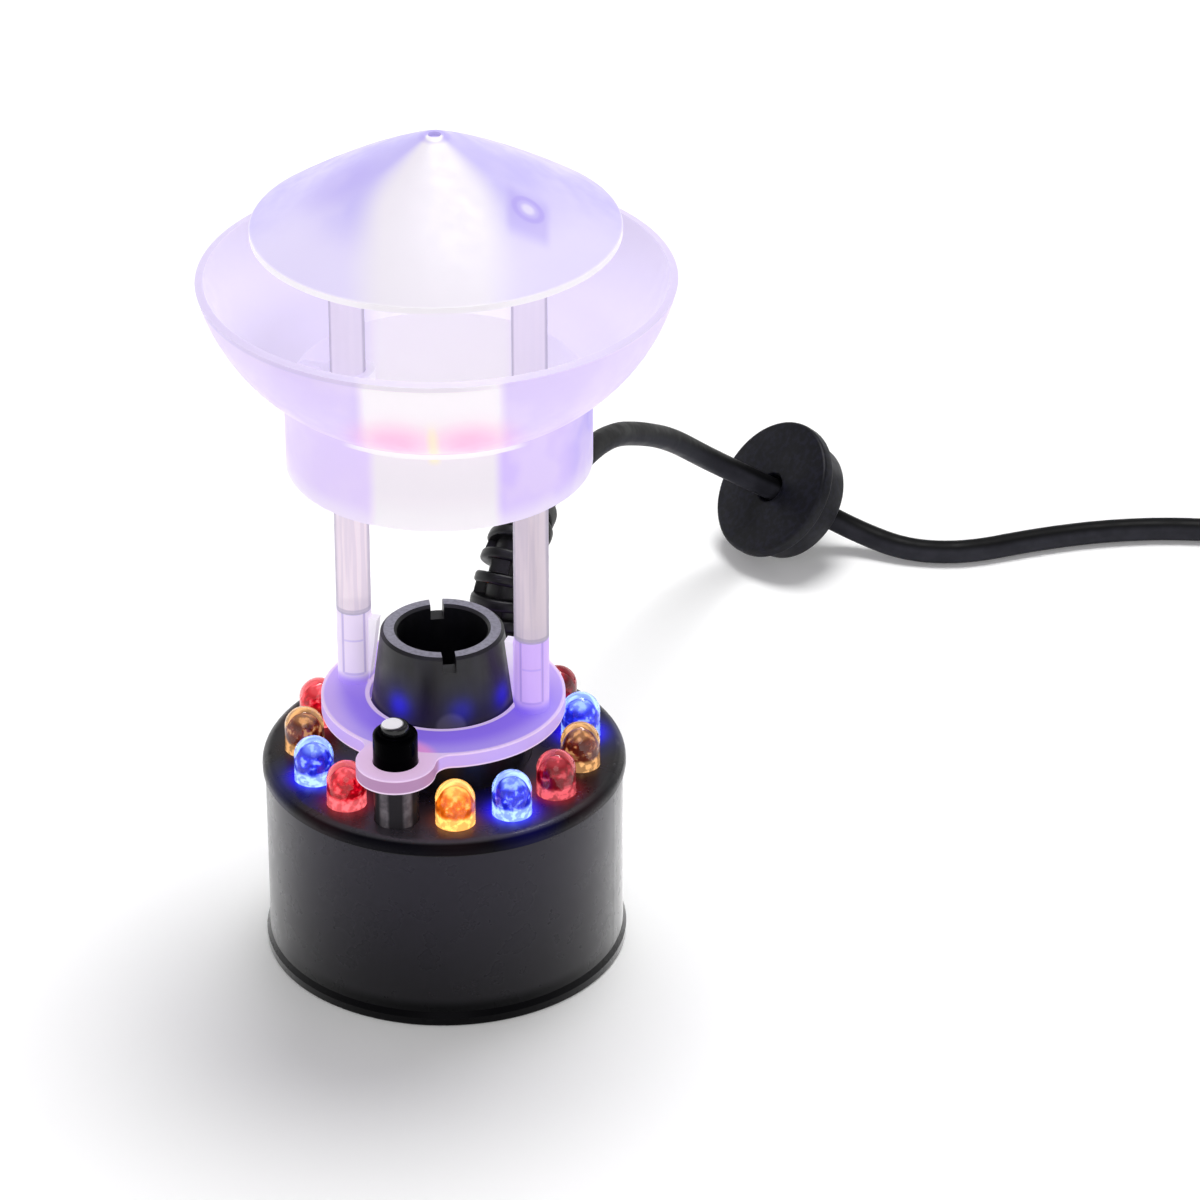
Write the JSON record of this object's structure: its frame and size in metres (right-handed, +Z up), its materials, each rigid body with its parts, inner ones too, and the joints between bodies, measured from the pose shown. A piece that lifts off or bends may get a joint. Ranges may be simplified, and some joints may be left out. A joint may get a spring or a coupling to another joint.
{
  "type": "ultrasonic mist maker",
  "caption": "Round submersible mist maker with a ring of coloured lights, a level sensor, a slotted nozzle collar, a lift-off splash guard and a lead with a rubber grommet.",
  "frame": {"origin": "centre of the base's underside, under the middle of the splash guard", "axes": "+Z up along the nozzle, -Y towards the level sensor, +Y towards the lead, +X to the sensor's right as it is faced"},
  "size_m": [0.158, 0.2055, 0.1124],
  "materials": {
    "shell": "dark grey moulded plastic with a soft shine",
    "cover": "dark grey plastic, polished by the potting resin",
    "screw": "zinc-plated steel",
    "seal": "soft black rubber",
    "board": "green lacquered glass fibre",
    "lead_wire": "tinned steel wire",
    "chip": "black moulded epoxy",
    "heat_sink": "bare aluminium",
    "copper": "bare copper alloy",
    "can": "aluminium can in a blue sleeve",
    "insulation": "coloured wire insulation",
    "sensor": "near-black glossy plastic",
    "sensor_metal": "stainless steel, turned",
    "disc": "steel-faced ceramic disc",
    "washer": "white acetal",
    "collar": "dark grey moulded plastic, matt top",
    "guard": "frosted translucent plastic",
    "red_light": "tinted clear lens",
    "dark_red_light": "tinted clear lens",
    "blue_light": "tinted clear lens",
    "amber_light": "tinted clear lens",
    "brown_light": "tinted clear lens",
    "boot": "black flexible plastic",
    "cord": "smooth black flexible plastic",
    "grommet": "matt black rubber",
    "plug": "black moulded plastic",
    "plug_metal": "bright nickel plate",
    "plug_core": "black plastic insulator"
  },
  "bodies": {
    "base": {"housing_shell": "shell", "bottom_plate": "shell", "bottom_screws": "screw", "bottom_gasket": "seal", "top_cover": "cover", "cover_seal": "seal", "circuit_board": "board", "led_board": "board", "led_leads": "lead_wire", "sensor_leads": "lead_wire", "power_transistor": "chip", "heat_sink": "heat_sink", "choke_coil": "copper", "capacitors": "can", "power_leads": "insulation", "disc_lead": "insulation", "contact_spring": "copper", "sensor_body": "sensor", "sensor_tip": "sensor_metal", "disc_seal": "seal", "piezo_disc": "disc", "cable_boot": "boot", "cord": "cord", "cord_tail": "cord", "cord_coil": "cord", "cord_grommet": "grommet", "plug_body": "plug", "plug_barrel": "plug_metal", "plug_insulator": "plug_core", "led_1": "amber_light", "led_2": "blue_light", "led_3": "red_light", "led_4": "brown_light", "led_5": "blue_light", "led_6": "dark_red_light", "led_7": "red_light", "led_8": "blue_light", "led_9": "brown_light", "led_10": "red_light", "led_11": "blue_light", "led_12": "amber_light"},
    "nozzle_lift": {"slip_washer": "washer"},
    "collar": {"nozzle_collar": "collar"},
    "guard_foot": {"guard_ring": "guard"},
    "guard_top": {"guard_post_left": "guard", "guard_post_right": "guard", "guard_cap": "guard"},
    "bowl": {"guard_bowl": "guard"}
  },
  "joints": [
    {"name": "collar_lift", "type": "slide", "parent": "base", "child": "nozzle_lift", "axis": [0, 0, 1], "range_m": [0, 0.0042]},
    {"name": "collar_turn", "type": "hinge", "parent": "nozzle_lift", "child": "collar", "pos_m": [0, 0, 0.03], "axis": [0, 0, 1], "range_deg": [0, 720]},
    {"name": "guard_lift", "type": "slide", "parent": "nozzle_lift", "child": "guard_foot", "axis": [0, 0, 1], "range_m": [0, 0.02]},
    {"name": "guard_top_lift", "type": "slide", "parent": "guard_foot", "child": "guard_top", "axis": [0, 0, 1], "range_m": [0, 0.008]},
    {"name": "bowl_slide", "type": "slide", "parent": "guard_top", "child": "bowl", "axis": [0, 0, 1], "range_m": [-0.02, 0.012]}
  ],
  "couplings": [
    {"joint": "collar_lift", "follows": "collar_turn", "m_per_rad": 0.00033422}
  ]
}
